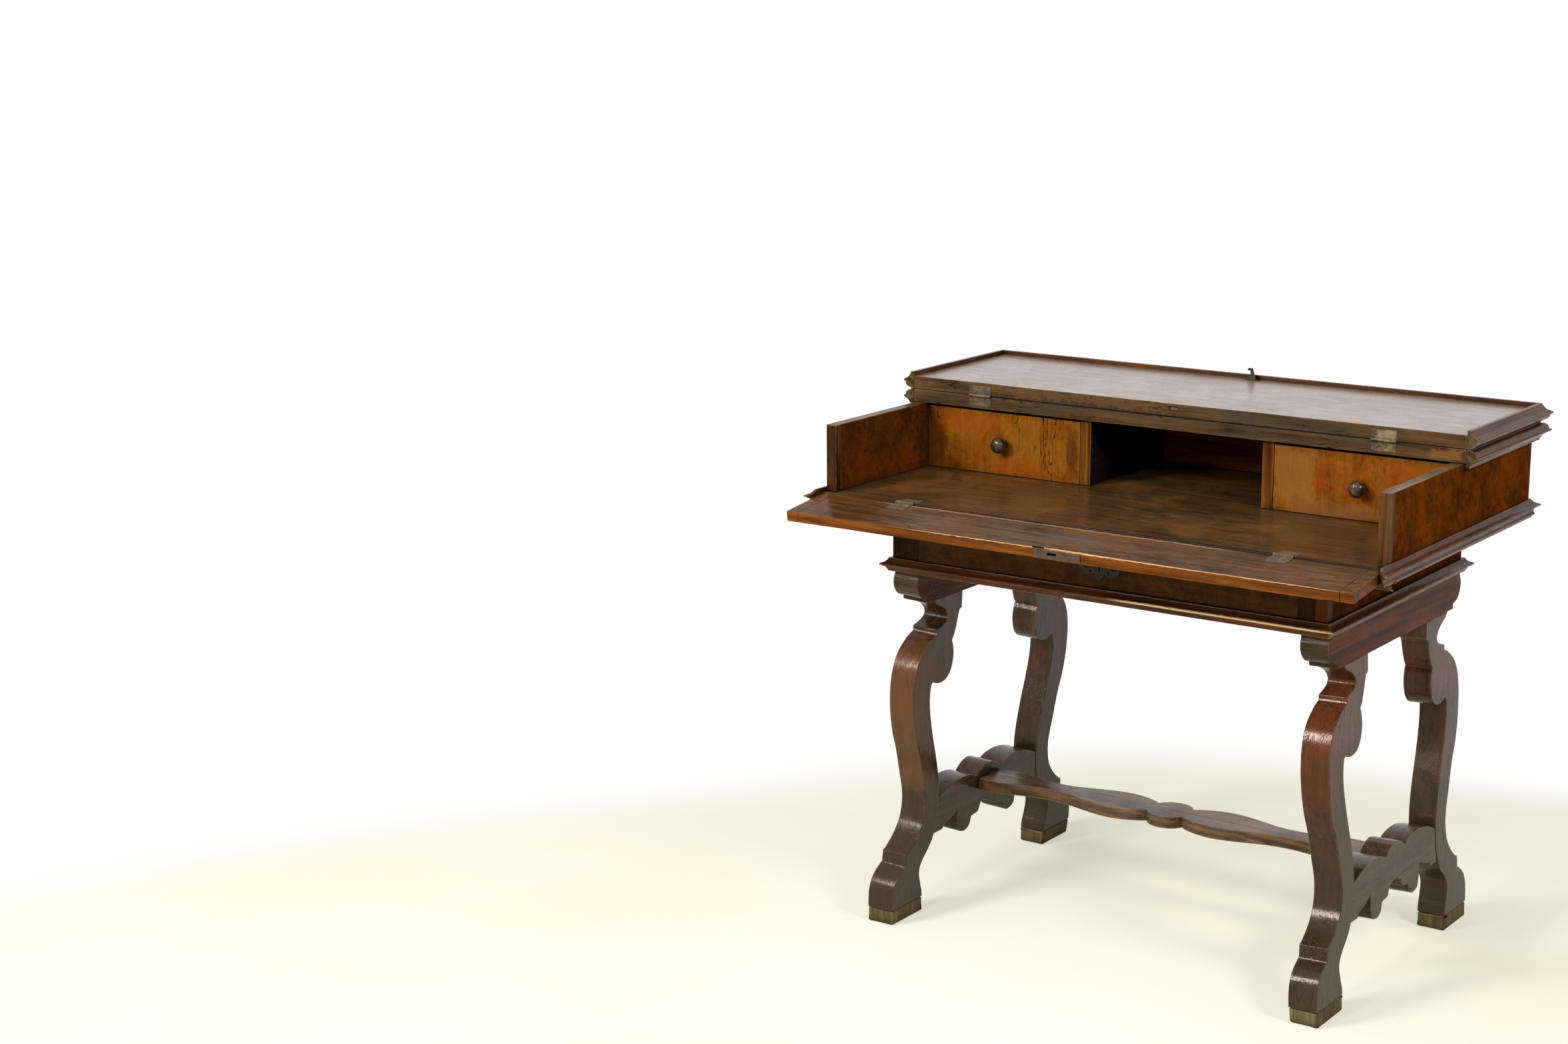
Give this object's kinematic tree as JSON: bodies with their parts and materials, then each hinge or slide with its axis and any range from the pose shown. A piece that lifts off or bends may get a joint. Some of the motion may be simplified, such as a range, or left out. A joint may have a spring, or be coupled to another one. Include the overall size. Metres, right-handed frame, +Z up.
{
  "type": "drop-front secretary desk",
  "caption": "Walnut drop-front writing desk on scrolled trestles, shown open: folded-back top, level writing flap, inner drawers, a large drawer and iron locks.",
  "frame": {"origin": "on the floor under the middle of the open desk's outline, seen from above", "axes": "+X to the right of somebody who sits at the desk, +Y to its back, +Z up; the drop front opens towards -Y"},
  "size_m": [1.03, 0.7078, 0.9023],
  "materials": {
    "walnut": "old wax over walnut",
    "dark walnut": "dark wax, worn on the ridges",
    "burr walnut": "waxed burr veneer",
    "golden burr": "waxed burr veneer",
    "drawer linings": "plain, unpolished",
    "worn feet": "worn bare",
    "faded walnut": "faded wax with a sheen",
    "iron": "old wrought iron, waxed",
    "brass": "dull brass"
  },
  "bodies": {
    "case": {"head_left": "walnut", "head_right": "walnut", "front_leg_left": "walnut", "front_leg_right": "walnut", "back_leg_left": "walnut", "back_leg_right": "walnut", "foot_pads": "worn feet", "cross_stretcher_left": "dark walnut", "cross_stretcher_right": "dark walnut", "long_stretcher": "dark walnut", "lower_floor": "drawer linings", "lower_side_left": "burr walnut", "lower_side_right": "burr walnut", "lower_back": "walnut", "corner_posts": "walnut", "front_rail": "walnut", "drawer_guides": "drawer linings", "lower_moulding": "dark walnut", "writing_board": "walnut", "upper_side_left": "burr walnut", "upper_side_right": "burr walnut", "side_lippings": "walnut", "upper_back": "walnut", "divider_left": "walnut", "divider_right": "walnut", "base_moulding": "dark walnut", "fixed_top": "faded walnut", "fixed_top_moulding": "dark walnut", "top_hinge_fixed_leaves": "brass", "flap_hinge_fixed_leaves": "iron"},
    "folding_top": {"folding_top": "faded walnut", "folding_top_moulding": "dark walnut", "top_hinge_moving_leaves": "brass", "top_hinge_pins": "brass", "lock_catch": "iron"},
    "drop_front": {"drop_front": "walnut", "drop_front_cleats": "walnut", "drop_front_moulding": "dark walnut", "flap_hinge_moving_leaves": "iron", "flap_hinge_pins": "iron", "flap_lock": "iron", "flap_escutcheon": "iron"},
    "drop_front_bolt": {"flap_lock_bolt": "iron"},
    "left_drawer": {"left_drawer_front": "golden burr", "left_drawer_sides": "drawer linings", "left_drawer_back": "drawer linings", "left_drawer_bottom": "drawer linings", "left_drawer_knob": "dark walnut"},
    "right_drawer": {"right_drawer_front": "golden burr", "right_drawer_sides": "drawer linings", "right_drawer_back": "drawer linings", "right_drawer_bottom": "drawer linings", "right_drawer_knob": "dark walnut"},
    "large_drawer": {"large_drawer_front": "burr walnut", "large_drawer_sides": "drawer linings", "large_drawer_back": "drawer linings", "large_drawer_bottom": "drawer linings", "drawer_lock": "iron", "drawer_escutcheon": "iron"},
    "large_drawer_bolt": {"drawer_lock_bolt": "iron"}
  },
  "joints": [
    {"name": "folding_top_hinge", "type": "hinge", "parent": "case", "child": "folding_top", "pos_m": [0, 0.02685, 0.86015], "axis": [1, 0, 0], "range_deg": [0, 180]},
    {"name": "drop_front_hinge", "type": "hinge", "parent": "case", "child": "drop_front", "pos_m": [0, -0.24815, 0.728], "axis": [-1, 0, 0], "range_deg": [0, 97]},
    {"name": "drop_front_bolt_slide", "type": "slide", "parent": "drop_front", "child": "drop_front_bolt", "axis": [1, 0, 0], "range_m": [0, 0.006]},
    {"name": "left_drawer_slide", "type": "slide", "parent": "case", "child": "left_drawer", "axis": [0, -1, 0], "range_m": [0, 0.23]},
    {"name": "right_drawer_slide", "type": "slide", "parent": "case", "child": "right_drawer", "axis": [0, -1, 0], "range_m": [0, 0.23]},
    {"name": "large_drawer_slide", "type": "slide", "parent": "case", "child": "large_drawer", "axis": [0, -1, 0], "range_m": [0, 0.3]},
    {"name": "large_drawer_bolt_slide", "type": "slide", "parent": "large_drawer", "child": "large_drawer_bolt", "axis": [0, 0, 1], "range_m": [0, 0.006]}
  ]
}
